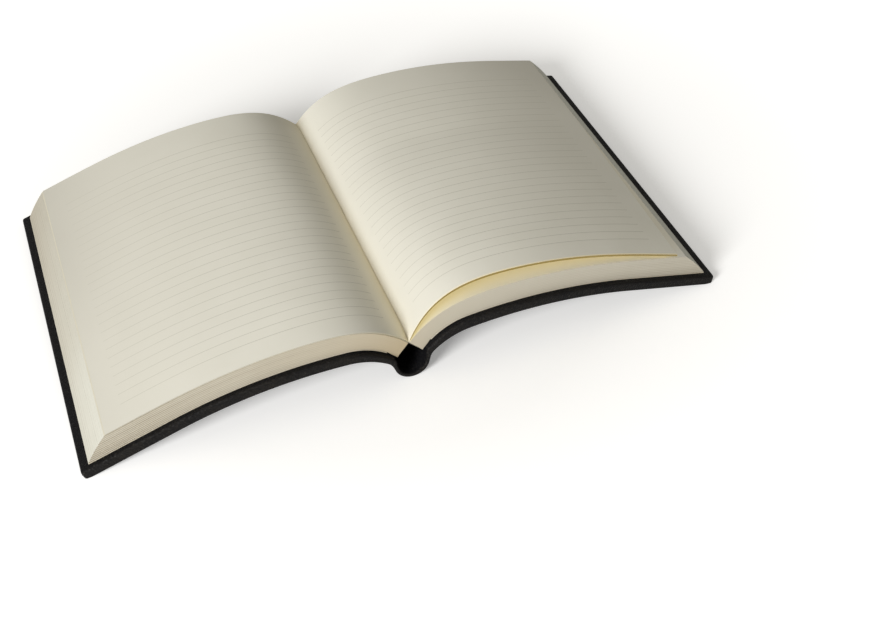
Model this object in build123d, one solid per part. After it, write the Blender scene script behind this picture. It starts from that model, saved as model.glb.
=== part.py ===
from build123d import *
import math
import os

# A leather journal lying open on a table, with arched pages and a hollow back.
# X runs across the spread, Y from foot to head, Z up from the table. The spine lies on X 0.

# Covers
cover_height = 200.0
cover_reach = 158.0        # middle of the spine to a fore-edge
cover_thickness = 5.4      # padded board under leather
joint_thickness = 3.4      # thinner beside the spine, where the leather bends
joint_rise = 9.8           # underside of a cover beside the spine
shoulder_out = 30.5        # where the bend at the joint runs into the long arch
shoulder_rise = 19.4       # underside of the cover there
fall_out = 112.0           # where the arch runs into the straight fall to the fore-edge
fall_slope = 15.5          # degrees
edge_rest = 5.0            # strip of each fore-edge that lies flat on the table
corner_round = 1.5         # corners of a cover seen from above
edge_round = 1.1           # turned-in leather along the edges

# Spine
spine_width = 17.6
spine_leather = 2.0
spine_rest = 4.4           # strip of the round back that lies flat on the table
joint_gap = 0.3            # between the spine's wall and a cover's end

# Pages
square = 3.2               # how far a cover stands past the pages
stack_thickness = 10.8     # half of the leaves, on one side of the opening
page_clearance = 0.3       # between the leaves and a cover's lining
back_rise = 5.6            # the folded back stands this much higher at its middle
gutter_depth = 1.2         # paper left between the gutter and the back
bevel_run = 11.0           # top leaf falls short of the bottom leaf by this much
bevel_bulge = 0.5          # roundness of the sloping fore-edge

# Leaves standing up at the foot of the right page
lift_rise = 14.0
lift_bend = 0.126          # share of the page's width in which the leaves bend up
lift_length = 130.0        # from the foot to where the leaves lie down again
leaf_thickness = 0.7       # the leaves that are lifted
leaf_parting = 0.2         # crack between them and the rest, where they lie down
parting_start = 0.004      # share of the page's width from the gutter to the crack

# Paper and cloth glued inside
endpaper_thickness = 0.3
paste_line = 0.05
hinge_margin = 2.0         # bare strip between an endpaper and the joint
lining_thickness = 0.5
lining_share = 0.85        # how much of the folded back the lining covers

# Places that follow from the sizes
joint_out = spine_width / 2 + joint_gap
block_height = cover_height - 2 * square
block_reach = cover_reach - square
foot = -block_height / 2
lift_end = foot + lift_length
lining_level = paste_line + endpaper_thickness
under_level = lining_level + page_clearance
page_level = under_level + stack_thickness
sky = shoulder_rise + cover_thickness + stack_thickness + lift_rise + cover_reach

# Shares of the page's width at which its line is set out, closer together at the gutter
page_shares = [0, 0.02, 0.05, 0.1] + [step / 10 for step in range(2, 11)]
parting_shares = [parting_start] + page_shares[1:]

# The underside of the right cover, from its fore-edge to the spine, drawn with X across and Z up
fall_aim = Vector(-math.cos(math.radians(fall_slope)), math.sin(math.radians(fall_slope)))
fall_climb = math.tan(math.radians(fall_slope))
edge_point = Vector(cover_reach, -edge_rest * fall_climb)
fall_point = Vector(fall_out, (cover_reach - edge_rest - fall_out) * fall_climb)
shoulder_point = Vector(shoulder_out, shoulder_rise)
joint_point = Vector(joint_out, joint_rise)
shoulder_aim = TangentArc(fall_point, shoulder_point, tangent=fall_aim) % 1
joint_aim = TangentArc(shoulder_point, joint_point, tangent=shoulder_aim) % 1


def above(point, aim, height):
    """Point that far above the underside, square to the way the cover runs there."""
    return point + Vector(aim.Y, -aim.X) * height


def arched_line(height, end):
    """A line that runs above the underside at one height and bends down to its end at the spine."""
    edge = above(edge_point, fall_aim, height)
    fall = above(fall_point, fall_aim, height)
    shoulder = above(shoulder_point, shoulder_aim, height)
    arch = TangentArc(fall, shoulder, tangent=fall_aim)
    bend = TangentArc(shoulder, end, tangent=shoulder_aim)
    return Wire([Line(edge, fall), arch, bend])


def joint_end(height):
    """Point that far above the cover's inner face, at the cover's end beside the spine."""
    return above(joint_point, joint_aim, joint_thickness + height)


def level(height):
    """A line that follows the cover's inner face at one height above it."""
    return arched_line(cover_thickness + height, joint_end(height))


def upright(outline, y):
    """A face drawn with X across and Z up, stood upright at that Y."""
    return Plane.XZ.offset(-y) * outline


def between(lower, upper):
    """The face between two lines that run the same way."""
    start = Line(lower @ 0, upper @ 0)
    end = Line(lower @ 1, upper @ 1)
    return make_face(lower.edges() + [end] + upper.edges() + [start])


def slab(x_low, x_high, z_low, z_high):
    """A block over the cover's height, to trim pieces with."""
    trim = Box(x_high - x_low, 2 * cover_height, z_high - z_low)
    return Pos((x_low + x_high) / 2, 0, (z_low + z_high) / 2) * trim


def along_spine(outline, length):
    """An outline carried along the spine, half to the foot and half to the head."""
    return extrude(upright(outline, 0), length / 2, both=True)


# Corners of the pages' folded back, and the gutter above its middle
back_corner = joint_end(under_level)
back_middle = Vector(0, back_corner.Y + back_rise)
gutter = Vector(0, back_middle.Y + gutter_depth)


def cover():
    """The right cover: an arched padded board, flat where its fore-edge rests."""
    board = along_spine(between(arched_line(0, joint_point), level(0)), cover_height)
    board = board & slab(joint_out, cover_reach, 0, sky)
    corners = board.faces().sort_by(Axis.X)[-1].edges().filter_by(Axis.Z)
    board = fillet(corners, corner_round)
    inner_edges = board.faces().filter_by(lambda face: face.normal_at().Z > 0.5).edges()
    rim = inner_edges.filter_by(Axis.Y, reverse=True)
    rim += inner_edges.filter_by(Axis.Y).sort_by(Axis.X)[-1:]
    return fillet(rim, edge_round)


def endpaper():
    """The sheet pasted inside the right cover, as large as the pages."""
    sheet = along_spine(between(level(paste_line), level(lining_level)), block_height)
    return sheet & slab(joint_out + hinge_margin, block_reach, 0, sky)


def spine():
    """The hollow back: a strip of leather bent round below the pages."""
    radius = spine_width / 2
    drop = radius - math.sqrt(radius ** 2 - (spine_rest / 2) ** 2)
    centre = radius - drop
    wall_rise = back_corner.Y - page_clearance - centre
    outer = Circle(radius) + Pos(0, wall_rise / 2) * Rectangle(spine_width, wall_rise)
    bore = spine_width - 2 * spine_leather
    inner = Circle(bore / 2) + Pos(0, wall_rise) * Rectangle(bore, 2 * wall_rise)
    upper = Pos(0, wall_rise - spine_width) * Rectangle(2 * spine_width, 2 * spine_width)
    strip = Pos(0, centre) * ((outer & upper) - inner)
    strip = along_spine(strip, cover_height)
    return strip & slab(-spine_width, spine_width, 0, sky)


def lift(share):
    """How far the loose leaves stand up at the foot, at a share of the page's width."""
    return lift_rise * (1 - math.exp(-share / lift_bend)) * (1 - share)


def page_line(lifted, shift, shares):
    """The top of the right page, raised by a share of the lift and by a plain shift."""
    rest = arched_line(cover_thickness + page_level, gutter)
    return Spline([rest @ (1 - share) + Vector(0, lifted * lift(share) + shift) for share in shares])


def half_block(lifted):
    """Outline of the right half of the pages, before its fore-edge is trimmed."""
    under = level(under_level)
    top = page_line(lifted, 0, page_shares)
    back = Line(under @ 1, back_middle)
    fold = Line(back_middle, gutter)
    end = Line(under @ 0, top @ 1)
    return make_face(under.edges() + [end, top, fold, back])


def parting(lifted):
    """The crescent between the loose leaves and the stack below them."""
    stack_top = page_line(0, -leaf_thickness, parting_shares)
    leaf_under = page_line(lifted, leaf_parting - leaf_thickness, parting_shares)
    return between(stack_top, leaf_under)


def fore_edge_trim():
    """All that lies outside the pages' sloping, slightly rounded fore-edge."""
    edge = above(edge_point, fall_aim, cover_thickness + under_level)
    low = Vector(block_reach, edge.Y + (edge.X - block_reach) * fall_climb)
    climb = stack_thickness / math.cos(math.radians(fall_slope)) + bevel_run * fall_climb
    slope = Vector(-bevel_run, climb)
    bulge = low + slope / 2 + Vector(climb, bevel_run).normalized() * bevel_bulge
    curve = ThreePointArc(low, bulge, low + slope)
    below = low - curve % 0 * stack_thickness
    past = curve @ 1 + curve % 1 * lift_rise
    outside = Polyline(curve @ 1, past, (past.X, sky), (sky, sky), (sky, -sky), (below.X, -sky), below, low)
    return along_spine(make_face([curve, outside]), cover_height)


def text_block():
    """All the leaves as one solid, with the loose ones parted from the right half at the foot."""
    trim = fore_edge_trim()
    left = mirror(along_spine(half_block(0), block_height) - trim, about=Plane.YZ)
    lying = upright(half_block(0), lift_end)
    right = loft([upright(half_block(1), foot), lying], ruled=True)
    right += extrude(lying, block_height - lift_length, dir=(0, 1, 0))
    right -= trim
    right -= loft([upright(parting(1), foot), upright(parting(0), lift_end)], ruled=True)
    return left + right


def lining():
    """The strip of cloth glued to the folded back of the pages."""
    end = back_middle + (back_corner - back_middle) * lining_share
    drop = Vector(0, -lining_thickness)
    half = make_face(Polyline(back_middle, end, end + drop, back_middle + drop, back_middle))
    return along_spine(half + mirror(half, about=Plane.YZ), block_height)


pieces = {
    "spine": spine(),
    "spine_lining": lining(),
    "text_block": text_block(),
    "back_cover": cover(),
    "back_endpaper": endpaper(),
}
for side in ("cover", "endpaper"):
    pieces["front_" + side] = mirror(pieces["back_" + side], about=Plane.YZ)

os.makedirs("parts", exist_ok=True)
for name, piece in pieces.items():
    export_step(piece, f"parts/{name}.step")
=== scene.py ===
import bmesh
import bpy
import math
import numpy as np
from mathutils import Matrix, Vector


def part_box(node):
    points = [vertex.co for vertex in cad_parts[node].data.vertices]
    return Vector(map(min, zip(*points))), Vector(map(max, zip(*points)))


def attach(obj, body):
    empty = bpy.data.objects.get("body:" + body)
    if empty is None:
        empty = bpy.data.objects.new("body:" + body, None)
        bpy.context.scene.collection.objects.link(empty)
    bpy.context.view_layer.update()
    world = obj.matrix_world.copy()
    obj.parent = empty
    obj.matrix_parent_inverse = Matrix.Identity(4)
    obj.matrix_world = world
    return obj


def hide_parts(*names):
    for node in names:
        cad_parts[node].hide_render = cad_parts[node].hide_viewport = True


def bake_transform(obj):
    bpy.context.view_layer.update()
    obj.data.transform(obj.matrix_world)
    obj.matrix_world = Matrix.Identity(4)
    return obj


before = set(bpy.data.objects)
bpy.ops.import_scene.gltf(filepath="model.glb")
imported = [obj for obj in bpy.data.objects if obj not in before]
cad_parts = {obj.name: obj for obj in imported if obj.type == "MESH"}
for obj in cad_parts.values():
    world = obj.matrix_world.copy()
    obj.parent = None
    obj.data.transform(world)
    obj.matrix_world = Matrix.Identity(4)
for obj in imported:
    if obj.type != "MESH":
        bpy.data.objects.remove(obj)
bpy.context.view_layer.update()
print("frame loaded,", len(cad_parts), "nodes")

# An open leather journal. Shapes are worked out in millimetres and scaled to metres in the mesh:
# x across the spread with the spine on 0, y from foot to head, z up from the table.
# Side -1 is the left half and side 1 the right half.
mm = 0.001
rng = np.random.default_rng(11)
coverHigh = np.array(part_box("back_cover")[1]) / mm

book = {
    "reach": coverHigh[0],          # spine to fore-edge
    "halfHeight": coverHigh[1],
    "cover": 5.4,
    "joint": (9.1, 9.8),            # lower corner of the right cover beside the spine
    "jointCover": 3.4,
    "shoulder": (30.5, 19.4),       # where the bend at the joint runs into the long arch
    "fallOut": 112.0,               # where the arch runs into the straight fall
    "fallSlope": math.radians(15.5),
    "edgeRest": 5.0,                # strip along the fore-edge that lies flat
    "square": 3.2,                  # cover past the pages
    "under": 0.65,                  # endpaper and air between cover and pages
    "stack": 10.8,                  # half of the leaves
    "backRise": 5.6,                # middle of the folded back above its corners
    "gutterDepth": 1.2,             # paper between the gutter and the back
    "bevelRun": 11.0,               # top leaf short of the bottom leaf at the fore-edge
    "bevelBulge": 0.5,
    "steps": {"fall": 60, "arch": 200, "bend": 120},
}
foot = -book["halfHeight"] + book["square"]
head = -foot
blockReach = book["reach"] - book["square"]


# rises evenly from 0 at start to 1 at end, whichever way round these lie
def ramp(value, start, end):
    return np.clip((value - start) / (end - start), 0, 1)


# bell of height 1: exponential of minus the square of the distance from its middle, in widths
def bell(value, middle, width):
    return np.exp(-((value - middle) / width) ** 2)


# falling exponential, 1 at 0 and about a third at its reach
def decay(value, reach):
    return np.exp(-value / reach)


# 0 for a closed gap, one half for the gap named half, nearly 1 for a wide one
def opened(gap, half):
    return gap / (gap + half)


# arc that leaves start along aim and ends at end, in equal turns about its centre
def arcFrom(start, aim, end, steps):
    chord = end - start
    side = np.array([-aim[1], aim[0]])
    sweep = 2 * math.atan2(chord @ side, chord @ aim)
    spoke = -side * (chord @ chord) / (2 * chord @ side)
    turn = np.linspace(0, sweep, steps)[:, None]
    points = start - spoke + np.cos(turn) * spoke + np.sin(turn) * np.array([-spoke[1], spoke[0]])
    endAim = np.array([aim[0] * math.cos(sweep) - aim[1] * math.sin(sweep),
                       aim[0] * math.sin(sweep) + aim[1] * math.cos(sweep)])
    return points, endAim


# the underside of the right cover in x and z: a straight fall, the long arch, the bend at the joint
fallAim = np.array([-math.cos(book["fallSlope"]), math.sin(book["fallSlope"])])
climb = math.tan(book["fallSlope"])
fallRun = book["reach"] - book["edgeRest"] - book["fallOut"]
edgePoint = np.array([book["reach"], -book["edgeRest"] * climb])
fallPoint = np.array([book["fallOut"], fallRun * climb])
shoulderPoint = np.array(book["shoulder"])
jointPoint = np.array(book["joint"])
shoulderAim = arcFrom(fallPoint, fallAim, shoulderPoint, 2)[1]
jointAim = arcFrom(shoulderPoint, shoulderAim, jointPoint, 2)[1]


# point that far above the underside, square to the way the cover runs there
def above(point, aim, height):
    return point + np.array([aim[1], -aim[0]]) * height


# line at one height over the underside, from its end at the spine out to the fore-edge
def archLine(height, end):
    steps = book["steps"]
    edge = above(edgePoint, fallAim, height)
    fall = above(fallPoint, fallAim, height)
    shoulder = above(shoulderPoint, shoulderAim, height)
    arch = arcFrom(fall, fallAim, shoulder, steps["arch"])[0]
    bend = arcFrom(shoulder, shoulderAim, end, steps["bend"])[0]
    return np.vstack([np.linspace(edge, fall, steps["fall"]), arch[1:], bend[1:]])[::-1]


# distance of each point of a line from its start, along the line
def lengths(line):
    return np.concatenate([[0], np.cumsum(np.linalg.norm(np.diff(line, axis=0), axis=1))])


# points of a line at distances from its start
def along(line, distance):
    total = lengths(line)
    columns = [np.interp(distance, total, line[:, axis]) for axis in range(line.shape[1])]
    return np.stack(columns, axis=-1)


# a line cut off where it reaches that x, as points at equal steps
def cutAt(line, x, steps=500):
    return along(line, np.linspace(0, np.interp(x, line[:, 0], lengths(line)), steps))


# a line with its turns evened out: its direction is averaged under a bell of that width and the
# line is built again from those directions, then leaned back onto its two ends
def evenOut(line, width, steps=800, reach=150):
    path = along(line, np.linspace(0, lengths(line)[-1], steps))
    run = np.diff(path, axis=0)
    step = np.linalg.norm(run, axis=1).mean()
    weight = np.exp(-(np.arange(-reach, reach + 1) * step / width) ** 2 / 2)
    aim = np.pad(np.arctan2(run[:, 1], run[:, 0]), reach, mode="edge")
    aim = np.convolve(aim, weight / weight.sum(), mode="valid")
    stride = step * np.stack([np.cos(aim), np.sin(aim)], axis=1)
    moved = path[0] + np.vstack([[0, 0], np.cumsum(stride, axis=0)])
    return moved + np.linspace(0, 1, steps)[:, None] * (path[-1] - moved[-1])


# faces of a grid of points, as corner numbers; rows crossed with columns points outward
def gridFaces(rows, columns, start, flip):
    row, column = np.meshgrid(np.arange(rows - 1), np.arange(columns - 1), indexing="ij")
    corner = (start + row * columns + column).ravel()
    quad = np.stack([corner, corner + 1, corner + columns + 1, corner + columns], axis=1)
    return quad[:, ::-1] if flip else quad


# one object from several grids: each has points (rows, columns, 3), a material number or one per
# face, values for its colours and, for leather, the two lengths of its map. Values and map are kept
# by face corner, so that welded seams stay clean
def addPiece(name, grids, materials, sharp=35, weld=2e-6):
    points, faces, slots, maps, values, start = [], [], [], [], {}, 0
    for grid in grids:
        rows, columns = grid["points"].shape[:2]
        quad = gridFaces(rows, columns, start, grid.get("flip", False))
        points.append(grid["points"].reshape(-1, 3))
        faces.append(quad)
        slots.append(np.broadcast_to(np.asarray(grid.get("slot", 0)).reshape(-1), len(quad)))
        if "map" in grid:
            maps.append(grid["map"].reshape(-1, 2)[quad.ravel() - start])
        for key in ("tone", "fold", "rim"):
            value = np.broadcast_to(grid.get(key, 0.0), (rows, columns))
            values.setdefault(key, []).append(value.reshape(-1)[quad.ravel() - start])
        start += rows * columns
    mesh = bpy.data.meshes.new(name)
    mesh.from_pydata((np.vstack(points) * mm).tolist(), [], np.vstack(faces).tolist())
    mesh.polygons.foreach_set("material_index", np.concatenate(slots).astype(np.int32))
    mesh.polygons.foreach_set("use_smooth", np.ones(len(mesh.polygons), dtype=bool))
    for key, parts in values.items():
        data = np.concatenate(parts).astype(np.float32)
        if np.any(data):
            mesh.attributes.new(key, "FLOAT", "CORNER").data.foreach_set("value", data)
    if maps:
        layer = mesh.uv_layers.new(name="hide")
        layer.data.foreach_set("uv", np.vstack(maps).astype(np.float32).ravel())
    shell = bmesh.new()
    shell.from_mesh(mesh)
    bmesh.ops.remove_doubles(shell, verts=shell.verts, dist=weld)
    shell.to_mesh(mesh)
    shell.free()
    mesh.set_sharp_from_angle(angle=math.radians(sharp))
    for material in materials:
        mesh.materials.append(material)
    piece = bpy.data.objects.new(name, mesh)
    bpy.context.scene.collection.objects.link(piece)
    return piece


# four strips that close the rim between two grids of one size: foot, head, first and last column
def rimStrips(upper, lower, other, **values):
    lines = ((np.s_[0], True), (np.s_[-1], False), (np.s_[:, 0], False), (np.s_[:, -1], True))
    return [{"points": np.stack([upper[line], lower[line]]), "flip": flip != other, **values}
            for line, flip in lines]


# smooth waves: the sum of sines in a few random directions, about one unit high
def waves(x, y, size, count=6):
    angle, phase, _ = rng.uniform(0, 2 * math.pi, (3, count))
    pace = 2 * math.pi / size * rng.uniform(0.6, 1.5, count)
    total = 0
    for k in range(count):
        forward = x * math.cos(angle[k]) + y * math.sin(angle[k])
        total = total + np.sin(forward * pace[k] + phase[k])
    return total / math.sqrt(count)


def newMaterial(name):
    material = bpy.data.materials.new(name)
    material.use_nodes = True
    tree = material.node_tree
    return material, tree, tree.nodes["Principled BSDF"]


def addNode(tree, kind, inputs=None, **settings):
    node = tree.nodes.new(kind)
    for key, value in settings.items():
        setattr(node, key, value)
    for key, value in (inputs or {}).items():
        node.inputs[key].default_value = value
    return node


def link(tree, source, target):
    tree.links.new(source, target)


# first colour at factor 0, second at 1, and past them for factors outside that range
def mixColour(tree, factor, first, second):
    node = addNode(tree, "ShaderNodeMix", data_type="RGBA", clamp_factor=False)
    for number, value in ((0, factor), (6, first), (7, second)):
        if isinstance(value, bpy.types.NodeSocket):
            link(tree, value, node.inputs[number])
        else:
            node.inputs[number].default_value = value
    return node.outputs[2]


def mapRange(tree, value, low, high, toLow, toHigh):
    node = addNode(tree, "ShaderNodeMapRange", {1: low, 2: high, 3: toLow, 4: toHigh})
    link(tree, value, node.inputs[0])
    return node.outputs[0]


# node group: paper fibres. Gives a mottle from 0 to 1 and a bumped normal
def paperFibres():
    group = bpy.data.node_groups.new("paperFibres", "ShaderNodeTree")
    group.interface.new_socket("Mottle", in_out="OUTPUT", socket_type="NodeSocketFloat")
    group.interface.new_socket("Normal", in_out="OUTPUT", socket_type="NodeSocketVector")
    out = addNode(group, "NodeGroupOutput")
    place = addNode(group, "ShaderNodeTexCoord")
    cloud = addNode(group, "ShaderNodeTexNoise", {"Scale": 45.0, "Detail": 5.0, "Roughness": 0.6})
    fibre = addNode(group, "ShaderNodeTexNoise", {"Scale": 1400.0, "Detail": 3.0, "Roughness": 0.7})
    bump = addNode(group, "ShaderNodeBump", {"Strength": 0.12, "Distance": 0.0002})
    link(group, place.outputs["Object"], cloud.inputs["Vector"])
    link(group, place.outputs["Object"], fibre.inputs["Vector"])
    link(group, fibre.outputs["Fac"], bump.inputs["Height"])
    both = addNode(group, "ShaderNodeMath", {1: 0.35}, operation="MULTIPLY_ADD")
    link(group, fibre.outputs["Fac"], both.inputs[0])
    link(group, mapRange(group, cloud.outputs["Fac"], 0.3, 0.7, 0.0, 0.65), both.inputs[2])
    link(group, both.outputs[0], out.inputs["Mottle"])
    link(group, bump.outputs["Normal"], out.inputs["Normal"])
    return group


fibres = paperFibres()


# paper: cream with a faint mottle, turned to its fold colour (a tan, a gold, or painted warm light)
# where the fold value is high, darker where the tone value is high and a little lighter where it is
# below 0; both values also carry painted light and shade
def paperMaterial(name, light, dark, fold=None, tone=None, rough=0.78):
    material, tree, shader = newMaterial(name)
    paper = addNode(tree, "ShaderNodeGroup", node_tree=fibres)
    colour = mixColour(tree, paper.outputs["Mottle"], dark, light)
    for key, shade in (("fold", fold), ("tone", tone)):
        if shade:
            value = addNode(tree, "ShaderNodeAttribute", attribute_name=key)
            colour = mixColour(tree, value.outputs["Fac"], colour, shade)
    link(tree, colour, shader.inputs["Base Color"])
    link(tree, paper.outputs["Normal"], shader.inputs["Normal"])
    shader.inputs["Roughness"].default_value = rough
    shader.inputs["Specular IOR Level"].default_value = 0.25
    return material


# page paper: its fold colour, lighter and warmer than the paper, is painted warm light beside the
# gutter and in the raised foot edge; its tone is painted light and shade
pagePaper = paperMaterial("pagePaper", (0.80, 0.782, 0.70, 1), (0.765, 0.747, 0.66, 1),
                          fold=(0.97, 0.875, 0.64, 1), tone=(0.60, 0.58, 0.51, 1))
# edge paper: its tone holds the leaves' own tones and painted shade on the right foot and head
edgePaper = paperMaterial("edgePaper", (0.565, 0.538, 0.46, 1), (0.53, 0.50, 0.42, 1),
                          fold=(0.46, 0.38, 0.25, 1), tone=(0.29, 0.24, 0.165, 1), rough=0.85)
# fore-edge paper: its tone holds the leaf lines and painted light and shade, the right fore-edge
# painted lighter all over
bevelPaper = paperMaterial("bevelPaper", (0.51, 0.492, 0.425, 1), (0.48, 0.462, 0.395, 1),
                           tone=(0.29, 0.24, 0.165, 1), rough=0.85)
# paper in the gap below the raised leaves: its gold fold colour is a painted glow of light through
# the leaf, its dark gold tone painted shade in the depth
glowPaper = paperMaterial("glowPaper", (0.74, 0.715, 0.62, 1), (0.71, 0.685, 0.59, 1),
                          fold=(0.93, 0.845, 0.585, 1), tone=(0.38, 0.325, 0.155, 1))
# edges of the loose leaves: the dark gold fold colour is painted shade along their raised foot edge,
# with a tan beside the gutter on the left
leafEdge = paperMaterial("leafEdge", (0.50, 0.482, 0.415, 1), (0.47, 0.452, 0.385, 1),
                         fold=(0.28, 0.20, 0.045, 1), rough=0.85)
endPaper = paperMaterial("endPaper", (0.77, 0.74, 0.645, 1), (0.735, 0.705, 0.61, 1))
ruleInk = paperMaterial("ruleInk", (0.60, 0.583, 0.504, 1), (0.55, 0.534, 0.455, 1))


# node group: leather grain on the UV map. Pebbles with creases between them, as masks, a mottle,
# pale flecks and a bumped normal
def leatherGrain():
    group = bpy.data.node_groups.new("leatherGrain", "ShaderNodeTree")
    for label in ("Crease", "Mottle", "Fleck"):
        group.interface.new_socket(label, in_out="OUTPUT", socket_type="NodeSocketFloat")
    group.interface.new_socket("Normal", in_out="OUTPUT", socket_type="NodeSocketVector")
    out = addNode(group, "NodeGroupOutput")
    place = addNode(group, "ShaderNodeUVMap", uv_map="hide")
    warp = addNode(group, "ShaderNodeTexNoise", {"Scale": 260.0, "Detail": 2.0})
    cloud = addNode(group, "ShaderNodeTexNoise", {"Scale": 60.0, "Detail": 4.0, "Roughness": 0.6})
    fine = addNode(group, "ShaderNodeTexNoise", {"Scale": 2600.0, "Detail": 2.0})
    fleck = addNode(group, "ShaderNodeTexNoise", {"Scale": 900.0, "Detail": 3.0, "Roughness": 0.65})
    for noise in (warp, cloud, fine, fleck):
        link(group, place.outputs["UV"], noise.inputs["Vector"])
    moved = addNode(group, "ShaderNodeVectorMath", {1: (0.0012, 0.0012, 0.0)},
                    operation="MULTIPLY_ADD")
    link(group, warp.outputs["Color"], moved.inputs[0])
    link(group, place.outputs["UV"], moved.inputs[2])
    pebble = addNode(group, "ShaderNodeTexVoronoi", {"Scale": 900.0}, feature="DISTANCE_TO_EDGE")
    link(group, moved.outputs[0], pebble.inputs["Vector"])
    height = addNode(group, "ShaderNodeMath", {1: 0.25}, operation="MULTIPLY_ADD")
    link(group, fine.outputs["Fac"], height.inputs[0])
    link(group, mapRange(group, pebble.outputs["Distance"], 0.0, 0.22, 0.0, 1.0), height.inputs[2])
    bump = addNode(group, "ShaderNodeBump", {"Strength": 0.55, "Distance": 0.0003})
    link(group, height.outputs[0], bump.inputs["Height"])
    crease = mapRange(group, pebble.outputs["Distance"], 0.0, 0.12, 1.0, 0.0)
    link(group, crease, out.inputs["Crease"])
    link(group, mapRange(group, cloud.outputs["Fac"], 0.3, 0.7, 0.0, 1.0), out.inputs["Mottle"])
    link(group, mapRange(group, fleck.outputs["Fac"], 0.58, 0.70, 0.0, 1.0), out.inputs["Fleck"])
    link(group, bump.outputs["Normal"], out.inputs["Normal"])
    return group


# leather: mottled black, browner where the rim value is high, darker in its creases, with pale flecks
def leatherMaterial(name, light, dark, crease, rimBrown, fleck):
    material, tree, shader = newMaterial(name)
    grain = addNode(tree, "ShaderNodeGroup", node_tree=leatherGrain())
    rim = addNode(tree, "ShaderNodeAttribute", attribute_name="rim")
    rimTint = addNode(tree, "ShaderNodeMath", operation="MULTIPLY")
    link(tree, rim.outputs["Fac"], rimTint.inputs[0])
    link(tree, grain.outputs["Mottle"], rimTint.inputs[1])
    colour = mixColour(tree, grain.outputs["Mottle"], dark, light)
    colour = mixColour(tree, rimTint.outputs[0], colour, rimBrown)
    colour = mixColour(tree, grain.outputs["Crease"], colour, crease)
    colour = mixColour(tree, grain.outputs["Fleck"], colour, fleck)
    rough = mapRange(tree, grain.outputs["Mottle"], 0.0, 1.0, 0.42, 0.56)
    link(tree, colour, shader.inputs["Base Color"])
    link(tree, rough, shader.inputs["Roughness"])
    link(tree, grain.outputs["Normal"], shader.inputs["Normal"])
    shader.inputs["Specular IOR Level"].default_value = 0.14
    return material


leather = leatherMaterial("leather", light=(0.0080, 0.0080, 0.0095, 1), dark=(0.004, 0.004, 0.005, 1),
                          crease=(0.0025, 0.0025, 0.003, 1), rimBrown=(0.014, 0.012, 0.0095, 1),
                          fleck=(0.026, 0.024, 0.020, 1))


# lining: dark open weave, the higher of two crossed waves
def clothMaterial(name, thread, gap):
    material, tree, shader = newMaterial(name)
    place = addNode(tree, "ShaderNodeTexCoord")
    weave = addNode(tree, "ShaderNodeMath", operation="MAXIMUM")
    for number, direction in ((0, "X"), (1, "Y")):
        yarn = addNode(tree, "ShaderNodeTexWave", {"Scale": 420.0, "Distortion": 0.6},
                       bands_direction=direction)
        link(tree, place.outputs["Object"], yarn.inputs["Vector"])
        link(tree, yarn.outputs["Fac"], weave.inputs[number])
    link(tree, mixColour(tree, weave.outputs[0], gap, thread), shader.inputs["Base Color"])
    bump = addNode(tree, "ShaderNodeBump", {"Strength": 0.4, "Distance": 0.0002})
    link(tree, weave.outputs[0], bump.inputs["Height"])
    link(tree, bump.outputs["Normal"], shader.inputs["Normal"])
    shader.inputs["Roughness"].default_value = 0.9
    return material


liningCloth = clothMaterial("liningCloth", (0.034, 0.029, 0.023, 1), (0.010, 0.009, 0.008, 1))
print("materials made")

pages = {
    "leaves": 33,              # groups of leaves that show on the edges
    "jog": 0.10,               # how far a leaf sticks out past its neighbours
    "groove": 0.16,
    "leafTone": 0.2,           # most that a leaf is darker than its neighbours, at random
    "thirdTone": 0.8,          # every third one is darker by this
    "grooveTone": 0.3,
    "lines": {-1: 1.0, 1: 0.25},        # how strongly the groups show
    "pitch": 6.35,
    "rules": 26,
    "firstRule": -84.0,
    "ruleWidth": 0.30,
    "gutterMargin": 10.5,
    "edgeMargin": 10.5,
    "archSoftness": 12.0,      # width over which the bend of the top leaf is evened out
    "seatDrop": 0.5,           # down onto the bare leather at the joint
    "seatRun": (5.8, 4.3),     # distances from the back between which it comes down
    "gutterFill": {-1: 2.4, 1: 0.8},    # how far the glued fold fills the gutter
    "gutterEnds": 14.0,        # the fill runs out over this length at foot and head
    "leastFill": 0.02,         # share of it that stays at the very end
    "gutterLean": 0.8,         # how far the left leaf reaches across the middle
    "leanReach": 5.0,
    "creaseDrop": 0.6,         # share of the fill by which the left leaf turns down at the middle
    "creaseReach": 0.7,
    "wave": 0.12,
    "waveSize": 90.0,
    "waveSides": 0.12,         # it starts over this share of the width,
    "waveEnds": 25.0,          # and over this length at foot and head
    "footRim": 1.4,            # depth of the light edge at the right foot
}
loose = {
    "rise": 14.0,
    "bend": 0.126,             # share of the line over the whole cover in which they bend up
    "tip": 0.09,               # share of the rise left at the fore-edge
    "length": 130.0,
    "softEnd": 0.06,
    "sheet": 0.15,             # thickness where they lie down
    "lifted": {-1: 0.90, 1: 1.15},      # thickness where they stand up
    "halfLifted": 0.5,         # rise at which half of that is reached
    "seat": 0.50,              # top of the stack below the page
    "pull": 8.0,               # how far standing up pulls their fore-edge in
    "leftRise": 0.6,           # the left leaf stands up a little beside the gutter
    "leftBend": 0.06,
    "leftLength": 34.0,
}

# the pages: lines over the cover, from the spine to the sloping fore-edge
backCorner = above(jointPoint, jointAim, book["jointCover"] + book["under"])
gutter = np.array([0.0, backCorner[1] + book["backRise"] + book["gutterDepth"]])
underLine = cutAt(archLine(book["cover"] + book["under"], backCorner), blockReach)
underLine[:, 1] -= pages["seatDrop"] * ramp(lengths(underLine), *pages["seatRun"])
topArch = archLine(book["cover"] + book["under"] + book["stack"], gutter)
topArch = evenOut(topArch, pages["archSoftness"])
topLine = cutAt(topArch, blockReach - book["bevelRun"])
pageLength, coverLength = lengths(topLine)[-1], lengths(topArch)[-1]
bevelOut = np.array([topLine[-1, 1] - underLine[-1, 1], underLine[-1, 0] - topLine[-1, 0]])
bevelOut /= np.linalg.norm(bevelOut)


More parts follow.
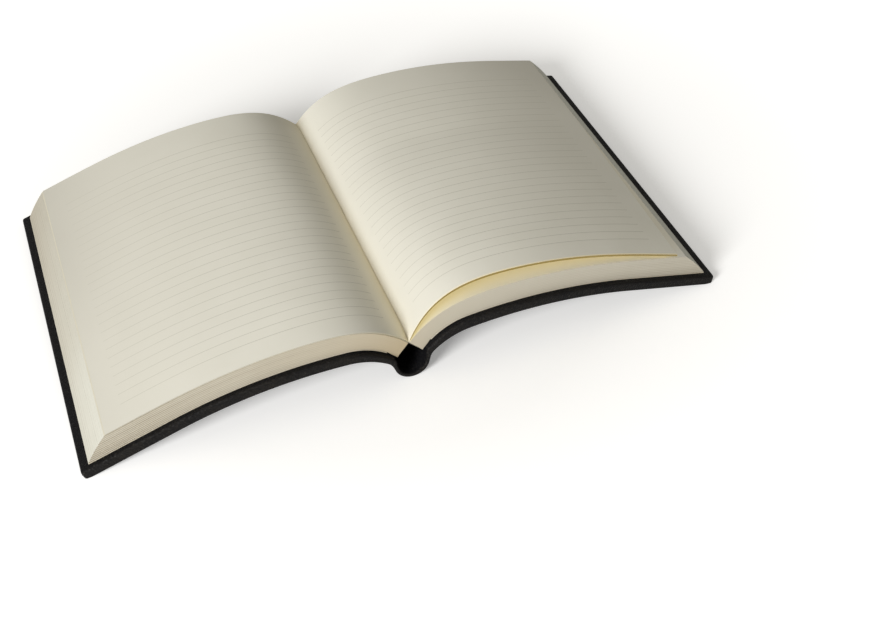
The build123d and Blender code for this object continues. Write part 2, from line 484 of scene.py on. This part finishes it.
# point of the right half at a share u from spine to fore-edge and s from bottom to top leaf:
# a straight step between the lowest and the top line, swelling out near the fore-edge
def inBlock(u, s, onset=30):
    u, s = np.broadcast_arrays(u, s)
    share = np.linspace(0, 1, len(topLine))
    low = np.stack([np.interp(u, share, underLine[:, axis]) for axis in (0, 1)], axis=-1)
    high = np.stack([np.interp(u, share, topLine[:, axis]) for axis in (0, 1)], axis=-1)
    swell = book["bevelBulge"] * 4 * s * (1 - s) * u ** onset
    return low + (high - low) * s[..., None] + bevelOut * swell[..., None]


# leaf edges: each leaf is a flat face between two grooves, jogged in or out at random, and every
# third one is darker and deeper
leafNumber = np.arange(pages["leaves"])
thirdLeaf = leafNumber % 3 == 0
leafJog = rng.uniform(-1, 1, pages["leaves"]) * pages["jog"]
leafTone = rng.uniform(0.0, pages["leafTone"], pages["leaves"]) + pages["thirdTone"] * thirdLeaf
leafPart = np.array([0.0, 0.14, 0.5, 0.86])           # places across one leaf
leafDepth = np.array([1.0, 0.12, 0.0, 0.12])          # share of the groove there
leafGroove = np.where(thirdLeaf, 1.0, 0.5)[:, None]
leafShare = np.append(((leafNumber[:, None] + leafPart) / pages["leaves"]).ravel(), 1.0)
edgeStep = (leafJog[:, None] - pages["groove"] * leafGroove * leafDepth).ravel()
edgeStep = np.append(edgeStep, leafJog[-1])
grooveTone = pages["grooveTone"] * leafGroove * (leafDepth > 0.5)
edgeTone = (leafTone[:, None] + grooveTone).ravel()
edgeTone = np.append(edgeTone, leafTone[-1])


# points in x and z put at their y, on the left or the right half
def lay(side, plane, y):
    plane, y = np.broadcast_arrays(plane, np.asarray(y)[..., None])
    return np.stack([side * plane[..., 0], y[..., 0], plane[..., 1]], axis=-1)


# where the leaves are set out: closer at the gutter, the fore-edge and the foot
uFine = np.concatenate([np.linspace(0, 0.2, 36, endpoint=False),
                        np.linspace(0.2, 0.96, 62, endpoint=False),
                        np.linspace(0.96, 1, 12)])
vFine = np.concatenate([np.linspace(foot, foot + 12, 16, endpoint=False),
                        np.linspace(foot + 12, head, 52)])


# falls evenly from 1 at the foot to 0 at that length, with a soft end
def fadeBack(y, length):
    back = ramp(y, foot + length, foot)
    return back * (1 - decay(back, loose["softEnd"]))


# right leaves stand up from the foot: most a little out of the gutter, less to the fore-edge
def rightLift(u, y):
    share = u * pageLength / coverLength
    across = (1 - decay(share, loose["bend"])) * (1 - share) + loose["tip"] * share ** 2
    return loose["rise"] * across * fadeBack(y, loose["length"])


# left leaf: a low hump beside the gutter, share times falling exponential
def leftLift(u, y):
    hump = u / loose["leftBend"]
    return loose["leftRise"] * hump * np.exp(1 - hump) * fadeBack(y, loose["leftLength"])


# tones of the edges, their own and painted light and shade; pairs are the shares of the width or
# height between which one comes up
edges = {
    "linesRun": (0.10, 0.85),           # the lines of the leaves show more toward the fore-edge
    "leastLines": 0.12,
    "warm": {-1: 1.0, 1: 0.43},         # tan at the gutter
    "warmReach": {-1: 0.30, 1: 0.22},
    "dusk": 0.10,                       # painted shade on the right foot and head, past the bend of the leaves
    "coverDusk": 0.20,                  # more of it toward the cover
    "duskRun": (0.12, 0.42),
    "bevelStep": 0.25,                  # share of the jogs and grooves on the fore-edge
    "bevelLines": 0.09,
    "headDusk": 0.28,                   # left fore-edge: painted shade to the head,
    "headRun": (0.0, 0.9),
    "footLight": 0.30,                  # painted light to the foot
    "footRun": (-0.2, -0.6),
    "topLight": 0.26,                   # and to the upper leaves
    # right fore-edge painted lighter all over: painted light
    "rightBevel": -0.75,
}


# one half of the leaves without its top: foot, head, fore-edge, underside and back
def leafBlock(side, top):
    left = side < 0
    rows = np.minimum(leafShare, top)
    lines = np.maximum(ramp(uFine, *edges["linesRun"]), edges["leastLines"])
    lines = pages["lines"][side] * lines[None, :]
    inner = edgeStep.copy()
    inner[0] = inner[-1] = 0
    step = inner[:, None] * lines
    step[:, 0] = step[:, -1] = 0
    tone = edgeTone[:, None] * lines
    # painted shade on the right foot and head, more toward the cover
    if not left:
        dusk = edges["dusk"] + edges["coverDusk"] * (1 - rows[:, None]) ** 2
        tone = tone + dusk * ramp(uFine, *edges["duskRun"])[None, :]
    warm = edges["warm"][side] * decay(uFine, edges["warmReach"][side])[None, :]
    plane = inBlock(uFine[None, :], rows[:, None])
    face = inBlock(np.ones(1), rows[:, None])[:, 0]
    fore = face + bevelOut * inner[:, None] * edges["bevelStep"]
    fore = np.repeat(fore[:, None, :], len(vFine), axis=1)
    fore[:, 0] = fore[:, -1] = face
    foreTone = np.repeat(edgeTone[:, None] * edges["bevelLines"], len(vFine), axis=1)
    # painted light and shade on the fore-edge: the left darker to the head and lighter to the foot
    # and the upper leaves, the right lighter all over
    if left:
        v = (vFine / head)[None, :]
        foreTone += edges["headDusk"] * ramp(v, *edges["headRun"])
        foreTone += edges["topLight"] * (0.5 - rows[:, None])
        foreTone -= edges["footLight"] * ramp(v, *edges["footRun"])
    else:
        foreTone += edges["rightBevel"]
    below = inBlock(uFine, np.zeros(1))[:, None, :]
    back = inBlock(np.zeros(1), rows[:, None])
    ends = {"slot": 1, "tone": tone, "fold": warm}
    return [{"points": lay(side, plane, foot - step), "flip": left, **ends},
            {"points": lay(side, plane, head + step), "flip": not left, **ends},
            {"points": lay(side, fore, vFine[None, :]), "slot": 3, "tone": foreTone, "flip": left},
            {"points": lay(side, below, vFine[None, :]), "flip": left},
            {"points": lay(side, back, vFine[None, :]), "slot": 1, "flip": not left}]


# rows and columns of a page, with a row of faces on each rule and room for the margins
ruleAt = pages["firstRule"] + pages["pitch"] * np.arange(pages["rules"])
halfRule = pages["ruleWidth"] / 2
clearRule = 3.0                         # first plain row past the first and the last rule
pageRows = np.concatenate([ruleAt - halfRule, ruleAt + halfRule, ruleAt[:-1] + pages["pitch"] / 2,
                           np.linspace(foot, ruleAt[0] - clearRule, 5), [foot + pages["footRim"]],
                           np.linspace(ruleAt[-1] + clearRule, head, 6)])
pageRows = np.unique(np.round(pageRows, 4))
ruleFrom = pages["gutterMargin"] / pageLength
ruleTo = 1 - pages["edgeMargin"] / pageLength
pageColumns = np.unique(np.concatenate([uFine, [ruleFrom, ruleTo]]))
fromEnds = np.minimum(pageRows - foot, head - pageRows)
fromSides = np.minimum(pageColumns, 1 - pageColumns)
pageGrid = np.meshgrid(pageColumns * pageLength, pageRows)
pageWave = pages["wave"] * (2 + waves(*pageGrid, pages["waveSize"]))
pageWave *= ramp(fromSides, 0, pages["waveSides"])[None, :]
pageWave *= ramp(fromEnds, 0, pages["waveEnds"])[:, None]

# painted light and shade of the pages, as tones, over the width u from the gutter and the height v
# from foot -1 to head 1
pageShading = {
    "edgeRun": (0.4, 1.0),
    "edgePower": 1.5,
    "gutterWidth": 0.18,
    "middle": (0.38, 0.18),             # place and width of the painted lighter middle
    "fold": {-1: 6.0, 1: 2.4},          # painted warm bounce light beside the gutter, in mm
}
leftShading = {
    "edge": 0.65,                       # painted shade toward the fore-edge,
    "edgeHead": 0.40,                   # more so at the head
    "edgeHeadRun": (-0.5, 0.5),
    "gutterHead": 0.45,                 # shadow beside the gutter, from the middle to the head
    "middleFoot": 0.13,                 # painted light in the middle, toward the foot
    "crease": 0.40,                     # painted shade, a dark line in the crease
    "creaseReach": 0.6,                 # in mm, like the next
    "bounce": 0.17,                     # light thrown back beside it, toward the foot
    "bouncePlace": (7.0, 5.0),
}
rightShading = {
    # painted shade toward the fore-edge, more so at the head
    "edge": 0.45,
    "edgeHead": 0.50,
    "gutter": 0.33,                     # less light beside the gutter toward the foot
    "gutterFoot": 0.22,
    # painted light in the middle, most toward the foot
    "middle": 0.19,
    "middleFoot": 0.25,
    "corner": 0.60,                     # painted light where the leaves stand up, toward the fore-edge
    "cornerRun": (0.5, 0.75),
    "cornerReach": 1 / 2.8,
}


# painted light and shade of a page, as a tone: a sum of ramps across it, bells and falling
# exponentials
def paintPageShade(side, u, v):
    across = ramp(u, *pageShading["edgeRun"]) ** pageShading["edgePower"]
    nearGutter = bell(u, 0, pageShading["gutterWidth"])
    nearMiddle = bell(u, *pageShading["middle"])
    if side < 0:
        away = u * pageLength
        atHead = leftShading["edgeHead"] * ramp(v, *leftShading["edgeHeadRun"])
        paintedShade = across * (leftShading["edge"] + atHead)
        paintedShade = paintedShade + leftShading["gutterHead"] * nearGutter * ramp(v, 0, 1)
        paintedShade = paintedShade - leftShading["middleFoot"] * nearMiddle * (1 - v)
        paintedShade = paintedShade + leftShading["crease"] * decay(away, leftShading["creaseReach"])
        return paintedShade - leftShading["bounce"] * (1 - v) * bell(away, *leftShading["bouncePlace"])
    paintedShade = across * (rightShading["edge"] + rightShading["edgeHead"] * v)
    paintedShade = paintedShade + nearGutter * (rightShading["gutter"] - rightShading["gutterFoot"] * v)
    paintedShade = paintedShade - nearMiddle * (rightShading["middle"] - rightShading["middleFoot"] * v)
    corner = ramp(u, *rightShading["cornerRun"]) * decay(1 + v, rightShading["cornerReach"])
    return paintedShade - rightShading["corner"] * corner


# how the painted glow and painted shade of the parted leaves run, with the left leaf's tan; u is the
# share of the width, depths are in mm
gapGlowShade = {
    "shut": (0.94, 0.84),               # the gap counts as shut past the first share
    "half": 0.4,                        # gap that lets half of the painted glow and shade show
    "leftReach": (6.5, 2.5),            # depth over which it comes up, and its loss to the fore-edge
    "rightReach": (0.3, 2.2),           # the same in gaps, with its growth to the fore-edge
    "mostReach": 1.2,
    "leastReach": 0.5,
    "power": 1.2,
    "shade": 0.92,                      # shade in the depth, gone at the share that follows
    "shadeTo": 0.85,
    "corner": 0.20,                     # more shade beside the gutter
    "cornerReach": 0.06,
    "front": 0.22,                      # share of the shade left at the foot, more beside the gutter
    "frontCorner": 0.45,
    "frontReach": 0.12,
    "leftShade": 0.2,
    "strip": 0.20,                      # shade of the bare strip along the fore-edge
    "stripRun": (0.93, 0.97),
    "light": 0.22,                      # painted light at the right foot, toward the fore-edge
    "lightRun": (0.5, 0.8),
    "lightReach": 12.0,
    "leftEdge": 0.25,                   # painted shade line in the foot edge of the left leaf
    "leftTan": 0.3,                     # and its tan beside the gutter
    "leftTanReach": 0.15,
}


# a ruled page over the top line: rows of faces on the rules carry ink between the margins. The
# fold fills the gutter by a falling exponential that starts as steep as the page, so it ends level
def pageTop(side, lift):
    plane = inBlock(pageColumns[None, :], np.ones(1)) + np.zeros((len(pageRows), 1, 1))
    points = lay(side, plane, pageRows[:, None])
    slope = (topLine[1, 1] - topLine[0, 1]) / (topLine[1, 0] - topLine[0, 0])
    ends = np.maximum(ramp(fromEnds, 0, pages["gutterEnds"]), pages["leastFill"])[:, None]
    ends = ends * (2 - ends)
    fill = pages["gutterFill"][side] * ends
    away = np.abs(points[..., 0])
    points[..., 2] += fill * np.exp(-slope * away / fill)
    if side < 0:                        # the left leaf leans over and turns down into the crease
        points[..., 0] += pages["gutterLean"] * ends * decay(away, pages["leanReach"])
        points[..., 2] -= pages["creaseDrop"] * fill * decay(away, pages["creaseReach"])
    points[..., 2] += pageWave + lift
    middleRow = (pageRows[:-1] + pageRows[1:]) / 2
    middleColumn = (pageColumns[:-1] + pageColumns[1:]) / 2
    onRule = np.abs(middleRow[:, None] - ruleAt[None, :]).min(axis=1) < halfRule
    inked = onRule[:, None] & ((middleColumn > ruleFrom) & (middleColumn < ruleTo))[None, :]
    # painted warm bounce light beside the gutter
    fold = decay(pageColumns * pageLength, pageShading["fold"][side])[None, :]
    if side > 0:                        # light caught in the raised edge at the foot
        rim = ramp(pageRows, foot + pages["footRim"], foot)[:, None]
        fold = np.maximum(fold, opened(lift[:1], gapGlowShade["half"]) * rim)
    # the painted light and shade of the page, as its tone
    paintedShade = paintPageShade(side, pageColumns[None, :], (pageRows / head)[:, None])
    return {"points": points, "slot": np.where(inked, 2, 0), "fold": fold, "tone": paintedShade,
            "flip": side < 0}


# painted glow and painted shade on top of the stack: both come up with the depth below the loose leaf
# and go with the gap, and the shade falls off toward the fore-edge; painted light at the right foot
def stackShade(side, lift):
    left = side < 0
    depth = (vFine - foot)[:, None]
    gap = lift(uFine, foot) * ramp(uFine, *gapGlowShade["shut"])
    if left:
        reach = gapGlowShade["leftReach"][0] - gapGlowShade["leftReach"][1] * uFine
    else:
        gaps = np.minimum(gapGlowShade["rightReach"][0] + gapGlowShade["rightReach"][1] * uFine, gapGlowShade["mostReach"])
        reach = np.maximum(gap * gaps, gapGlowShade["leastReach"])
    gap = opened(gap, gapGlowShade["half"])
    glow = ramp(depth, 0, reach[None, :]) ** gapGlowShade["power"] * gap[None, :]
    shade = gapGlowShade["shade"] * ramp(uFine, gapGlowShade["shadeTo"], 0)
    shade = (shade + gapGlowShade["corner"] * decay(uFine, gapGlowShade["cornerReach"])) * gap
    front = gapGlowShade["front"] + gapGlowShade["frontCorner"] * decay(uFine, gapGlowShade["frontReach"])[None, :]
    shade = (gapGlowShade["leftShade"] if left else 1.0) * (front + (1 - front) * glow) * shade[None, :]
    near = 0 if left else decay(depth, gapGlowShade["lightReach"])
    shade = shade + gapGlowShade["strip"] * (1 - near) * ramp(uFine, *gapGlowShade["stripRun"])[None, :]
    return glow, shade - gapGlowShade["light"] * near * ramp(uFine, *gapGlowShade["lightRun"])[None, :]


# half of the pages: the stack, and the loose leaf over it with its underside a sheet lower and
# strips round its edge
def halfPages(name, side, lift):
    left = side < 0
    seat = np.full(1, 1 - loose["seat"] / book["stack"])
    glow, shade = stackShade(side, lift)
    block = leafBlock(side, seat[0])
    # top of the stack in the gap: painted glow as its fold, painted shade and light as its tone
    block.append({"points": lay(side, inBlock(uFine, seat)[None, :, :], vFine[:, None]),
                  "slot": 2, "fold": glow, "tone": shade, "flip": left})
    stack = addPiece(name + "Pages", block, [pagePaper, edgePaper, glowPaper, bevelPaper])
    rise = lift(pageColumns[None, :], pageRows[:, None])
    top = pageTop(side, rise)
    pull = loose["pull"] * lift(0.5, pageRows)[:, None] / loose["rise"]
    top["points"][..., 0] -= side * pull * pageColumns[None, :] ** 2
    under = top["points"].copy()
    swell = (loose["lifted"][side] - loose["sheet"]) * opened(rise, loose["halfLifted"])
    under[..., 2] -= loose["sheet"] + swell
    strips = rimStrips(top["points"], under, left, slot=1)
    # painted shade along the raised foot edge of the leaf, and on the left a tan beside the gutter
    footShadeAndTan = opened(lift(pageColumns, foot), gapGlowShade["half"])
    if left:
        tan = gapGlowShade["leftTan"] * decay(pageColumns, gapGlowShade["leftTanReach"])
        footShadeAndTan = gapGlowShade["leftEdge"] * footShadeAndTan + tan
    strips[0]["fold"] = footShadeAndTan
    # underside of the leaf: painted glow all over
    bottom = {"points": under, "slot": 3, "fold": 1.0, "flip": not left}
    leaf = addPiece(name + "Leaf", [top, bottom] + strips, [pagePaper, leafEdge, ruleInk, glowPaper])
    leaf.visible_shadow = left          # the right leaf is thin and lets light through to the stack
    return [stack, leaf]


paperPieces = halfPages("left", -1, leftLift) + halfPages("right", 1, rightLift)
print("pages made")

# the hide: one path of leather from the middle of the spine out to a fore-edge, seen from outside.
# A round back, a bend through three points to the cover's underside, and the underside
spine = {
    "width": 17.6,
    "rest": 4.4,                        # strip of the round back that lies flat
    "leather": 2.0,
    "bendStart": math.radians(-15),     # where the round back turns out toward the cover
    "bendReach": 3.0,                   # how far along the cover the turn runs
    "probe": 0.2,                       # step at which directions are read
    "atJoint": book["jointCover"] - 0.1,      # leather and board beside the joint
    "easeRun": (-2.0, 1.5),             # from the joint, where the leather thickens to that
    "seams": (-3.0, 6.0),               # from the joint, ends of the strip that bends
}
radius = spine["width"] / 2
centre = math.sqrt(radius ** 2 - (spine["rest"] / 2) ** 2)
quarter = np.linspace(-math.pi / 2, spine["bendStart"], 160)
roundBack = np.stack([radius * np.cos(quarter), centre + radius * np.sin(quarter)], axis=1)
backOut = np.array([-math.sin(spine["bendStart"]), math.cos(spine["bendStart"])])
underside = archLine(0.0, jointPoint)
bendEnd, bendAhead = along(underside, spine["bendReach"] + np.array([0, spine["probe"]]))
bendOut = (bendAhead - bendEnd) / np.linalg.norm(bendAhead - bendEnd)
bendRun = np.linalg.solve(np.stack([backOut, bendOut], axis=1), bendEnd - roundBack[-1])
bendCorner = roundBack[-1] + backOut * bendRun[0]
bendShare = np.linspace(0, 1, 60)[1:, None]
jointBend = ((1 - bendShare) ** 2 * roundBack[-1] + 2 * bendShare * (1 - bendShare) * bendCorner
             + bendShare ** 2 * bendEnd)
pastBend = lengths(underside) > spine["bendReach"] + 0.01
hide = np.vstack([roundBack, jointBend, underside[pastBend]])
hideLength = lengths(hide)[-1]
jointAt = lengths(hide)[len(roundBack) + len(jointBend) // 2]
shoulderAt = np.interp(book["shoulder"][0], hide[:, 0], lengths(hide))
hideSeams = {"spine": jointAt + spine["seams"][0], "cover": jointAt + spine["seams"][1]}


# leather is thin on the spine, eases up at the joint and swells evenly to the padded board
def hideThickness(distance):
    first = ramp(distance - jointAt, *spine["easeRun"])
    ease = first * first * (3 - 2 * first)
    swell = (book["cover"] - spine["atJoint"]) * ramp(distance, jointAt, shoulderAt)
    return spine["leather"] + (spine["atJoint"] - spine["leather"]) * ease + swell


# how much a quarter round takes off at a distance from the end that it rounds
def roundOff(left, size):
    near = np.clip(size - left, 0, size)
    return size - np.sqrt(np.maximum(size ** 2 - near ** 2, 0))


# band of leather along the hide: at each station a flat loop with round ends, as wide as the cover
# is high. The fore-edge end closes with a round edge and round corners
def hideBand(stations, side, closes=False, corner=1.3, roundEdge=1.2):
    distance = np.abs(stations)
    ahead = along(hide, distance + spine["probe"]) - along(hide, distance - spine["probe"])
    ahead /= np.linalg.norm(ahead, axis=1)[:, None]
    inward = np.stack([-ahead[:, 1], ahead[:, 0]], axis=1)
    thick = hideThickness(distance)
    half = np.full(len(stations), book["halfHeight"])
    pinch = np.zeros(len(stations))
    if closes:
        half -= roundOff(hideLength - distance, corner)
        pinch = roundOff(hideLength - distance, roundEdge)
    ends = np.minimum(np.minimum(roundEdge, 0.45 * thick), thick / 2 - pinch)[:, None]
    low, high = pinch[:, None], (thick - pinch)[:, None]
    flat = half[:, None] - ends
    inner = 0.94                        # points lie closer past this share of the height
    straight = np.concatenate([np.linspace(-1, -inner, 6), np.linspace(-inner, inner, 72)[1:-1],
                               np.linspace(inner, 1, 6)])[None, :]
    turn = np.linspace(0, math.pi / 2, 9)[None, :]
    up, out = ends * np.sin(turn), ends * np.cos(turn)
    zero, one = np.zeros_like(straight), np.ones((1, 2 * turn.shape[1]))
    # outer face foot to head, round to the inner face, back to the foot, round again
    y = np.hstack([flat * straight, flat + up, flat + out,
                   flat * straight[:, ::-1], -flat - up, -flat - out])
    w = np.hstack([low + zero, low + ends - out, high - ends + up,
                   high + zero, high - ends + out, low + ends - up])
    rim = np.hstack([zero, one, zero, one])
    plane = along(hide, distance)[:, None, :] + inward[:, None, :] * w[..., None]
    signs = np.where(stations < 0, -1, 1)[:, None] * side
    points = np.stack([signs * plane[..., 0], y, np.maximum(plane[..., 1], 0)], axis=-1)
    points = np.concatenate([points, points[:, :1]], axis=1)
    rim = np.broadcast_to(np.append(rim, rim[:, :1]), points.shape[:2])
    spread = np.broadcast_arrays(stations[:, None] * side, lengths(points[0])[None, :])
    spread = np.stack(spread, axis=-1) * mm
    if closes:                          # the last loop falls together on its middle line
        last = points[-1:].copy()
        last[..., 2] = (last[..., 2].min() + last[..., 2].max()) / 2
        points = np.concatenate([points, last])
        rim, spread = (np.concatenate([rows, rows[-1:]]) for rows in (rim, spread))
    return {"points": points, "rim": rim, "map": spread, "flip": side > 0}


def addBand(name, stations, side, closes=False):
    return addPiece(name, [hideBand(stations, side, closes)], [leather], sharp=50)


closeRun = 4.0                          # last stretch of a cover, with closer stations
spineStations = np.linspace(-hideSeams["spine"], hideSeams["spine"], 121)
jointStations = np.linspace(hideSeams["spine"], hideSeams["cover"], 40)
coverStations = np.concatenate([np.linspace(hideSeams["cover"], hideLength - closeRun, 150),
                                hideLength - closeRun * np.linspace(1, 0, 25)[1:] ** 1.7])
leatherPieces = {"spine": addBand("spineLeather", spineStations, 1)}
for name, side in (("front", -1), ("back", 1)):
    leatherPieces[name + "Joint"] = addBand(name + "Joint", jointStations, side)
    leatherPieces[name + "Cover"] = addBand(name + "Cover", coverStations, side, closes=True)
print("leather made")

sheet = {"thick": 0.3, "paste": 0.05, "margin": 2.0, "edgeTan": 0.6}


# endpapers: thin sheets that follow the inner face of the covers
def endSheet(name, side):
    end = above(jointPoint, jointAim, book["jointCover"] + sheet["paste"])
    low = archLine(book["cover"] + sheet["paste"], end)
    low = low[low[:, 0] > jointPoint[0] + sheet["margin"]]
    low = cutAt(low, blockReach, 160)
    aim = np.gradient(low, axis=0)
    aim /= np.linalg.norm(aim, axis=1)[:, None]
    high = low + sheet["thick"] * np.stack([-aim[:, 1], aim[:, 0]], axis=1)
    rows = np.linspace(foot, head, 60)[:, None]
    top, bottom = lay(side, high[None, :, :], rows), lay(side, low[None, :, :], rows)
    grids = [{"points": top, "flip": side < 0}, {"points": bottom, "flip": side > 0}]
    grids += rimStrips(top, bottom, side < 0, slot=1, fold=sheet["edgeTan"])
    return addPiece(name, grids, [endPaper, edgePaper])


endSheets = {"front": endSheet("frontEndSheet", -1), "back": endSheet("backEndSheet", 1)}

strip = {"thick": 0.5, "paste": 0.05, "reach": 0.85}      # reach is a share of the folded back


# lining: a strip of cloth under the folded back of the pages, bent along its middle
def liningStrip():
    share = np.linspace(-strip["reach"], strip["reach"], 41)
    fall = (backCorner[1] - gutter[1]) * np.abs(share)
    ridge = np.stack([share * backCorner[0], gutter[1] + fall - strip["paste"]], axis=1)[None, :, :]
    rows = np.linspace(foot, head, 80)[:, None]
    top = lay(1, ridge, rows)
    bottom = lay(1, ridge - np.array([0, strip["thick"]]), rows)
    grids = [{"points": top}, {"points": bottom, "flip": True}] + rimStrips(top, bottom, False)
    return addPiece("liningStrip", grids, [liningCloth])


lining = liningStrip()
print("endpapers and lining made")

# what each piece stands for and rides on
for piece in paperPieces:
    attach(piece, "book_block")
    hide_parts("text_block")
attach(lining, "book_block")
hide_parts("spine_lining")
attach(leatherPieces["spine"], "book_block")
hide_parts("spine")
for name, side in (("front", -1), ("back", 1)):
    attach(leatherPieces[name + "Cover"], name + "_board")
    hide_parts(name + "_cover")
    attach(endSheets[name], name + "_board")
    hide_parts(name + "_endpaper")
    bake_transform(leatherPieces[name + "Joint"])
print("pieces ride on their bodies")


# floor: white, lit like the journal. For the camera it has a little light of its own, more with
# distance, so that it ends in white
def makeFloor(size, drop):
    material, tree, shader = newMaterial("floor")
    shader.inputs["Base Color"].default_value = (0.92, 0.92, 0.92, 1)
    shader.inputs["Roughness"].default_value = 0.9
    shader.inputs["Specular IOR Level"].default_value = 0.1
    shader.inputs["Emission Color"].default_value = (1, 1, 1, 1)
    path = addNode(tree, "ShaderNodeLightPath")
    place = addNode(tree, "ShaderNodeTexCoord")
    away = addNode(tree, "ShaderNodeVectorMath", operation="LENGTH")
    link(tree, place.outputs["Object"], away.inputs[0])
    seen = addNode(tree, "ShaderNodeMath", operation="MULTIPLY")
    link(tree, path.outputs["Is Camera Ray"], seen.inputs[0])
    link(tree, mapRange(tree, away.outputs["Value"], 0.14, 0.6, 0.26, 1.0), seen.inputs[1])
    link(tree, seen.outputs[0], shader.inputs["Emission Strength"])
    corners = [(-size, -size, 0), (size, -size, 0), (size, size, 0), (-size, size, 0)]
    mesh = bpy.data.meshes.new("floor")
    mesh.from_pydata(corners, [], [(0, 1, 2, 3)])
    mesh.materials.append(material)
    floor = bpy.data.objects.new("floor", mesh)
    bpy.context.scene.collection.objects.link(floor)
    floor.location.z = -drop


makeFloor(6.0, 0.0002)

# studio: one soft key from the left and an even, slightly warm surround that the camera sees white
key = {
    "place": (-1.43, -1.10, 0.86),
    "aim": (0, 0, 0.02),
    "size": 0.8,
    "power": 42.0,
    "colour": (1.0, 0.995, 0.985),
}
lampData = bpy.data.lights.new("key", "AREA")
lampData.shape = "DISK"
lampData.size = key["size"]
lampData.energy = key["power"]
lampData.color = key["colour"]
lamp = bpy.data.objects.new("key", lampData)
bpy.context.scene.collection.objects.link(lamp)
away = np.array(key["place"]) - np.array(key["aim"])
tilt = math.atan2(math.hypot(away[0], away[1]), away[2])
lamp.location = key["place"]
lamp.rotation_euler = (tilt, 0, math.atan2(away[0], -away[1]))

surround = {"strength": 0.305, "colour": (1.0, 0.96, 0.86, 1), "seen": (1, 1, 1, 1)}
world = bpy.data.worlds.new("studio")
bpy.context.scene.world = world
world.use_nodes = True
tree = world.node_tree
sky = tree.nodes["Background"]
path = addNode(tree, "ShaderNodeLightPath")
seen = addNode(tree, "ShaderNodeMath", operation="MAXIMUM")
link(tree, path.outputs["Is Camera Ray"], seen.inputs[0])
link(tree, path.outputs["Is Transmission Ray"], seen.inputs[1])
strength = mapRange(tree, seen.outputs[0], 0.0, 1.0, surround["strength"], 1.0)
colour = mixColour(tree, seen.outputs[0], surround["colour"], surround["seen"])
link(tree, strength, sky.inputs["Strength"])
link(tree, colour, sky.inputs["Color"])

# camera: where the photograph was taken from, in metres and degrees
view = {
    "eye": (-0.11596, -0.54141, 0.46403),
    "azimuth": -16.303,
    "elevation": 43.032,
    "roll": -5.68,
    "lens": 56.61,
    "sensor": 36.0,
}
cameraData = bpy.data.cameras.new("camera")
cameraData.sensor_width = view["sensor"]
cameraData.lens = view["lens"]
camera = bpy.data.objects.new("camera", cameraData)
bpy.context.scene.collection.objects.link(camera)
turn = Matrix.Rotation(math.radians(view["azimuth"]), 4, "Z")
turn = turn @ Matrix.Rotation(math.radians(90 - view["elevation"]), 4, "X")
turn = turn @ Matrix.Rotation(math.radians(view["roll"]), 4, "Z")
camera.matrix_world = Matrix.Translation(view["eye"]) @ turn
bpy.context.scene.camera = camera
bpy.context.scene.view_settings.view_transform = "Standard"
print("studio made")
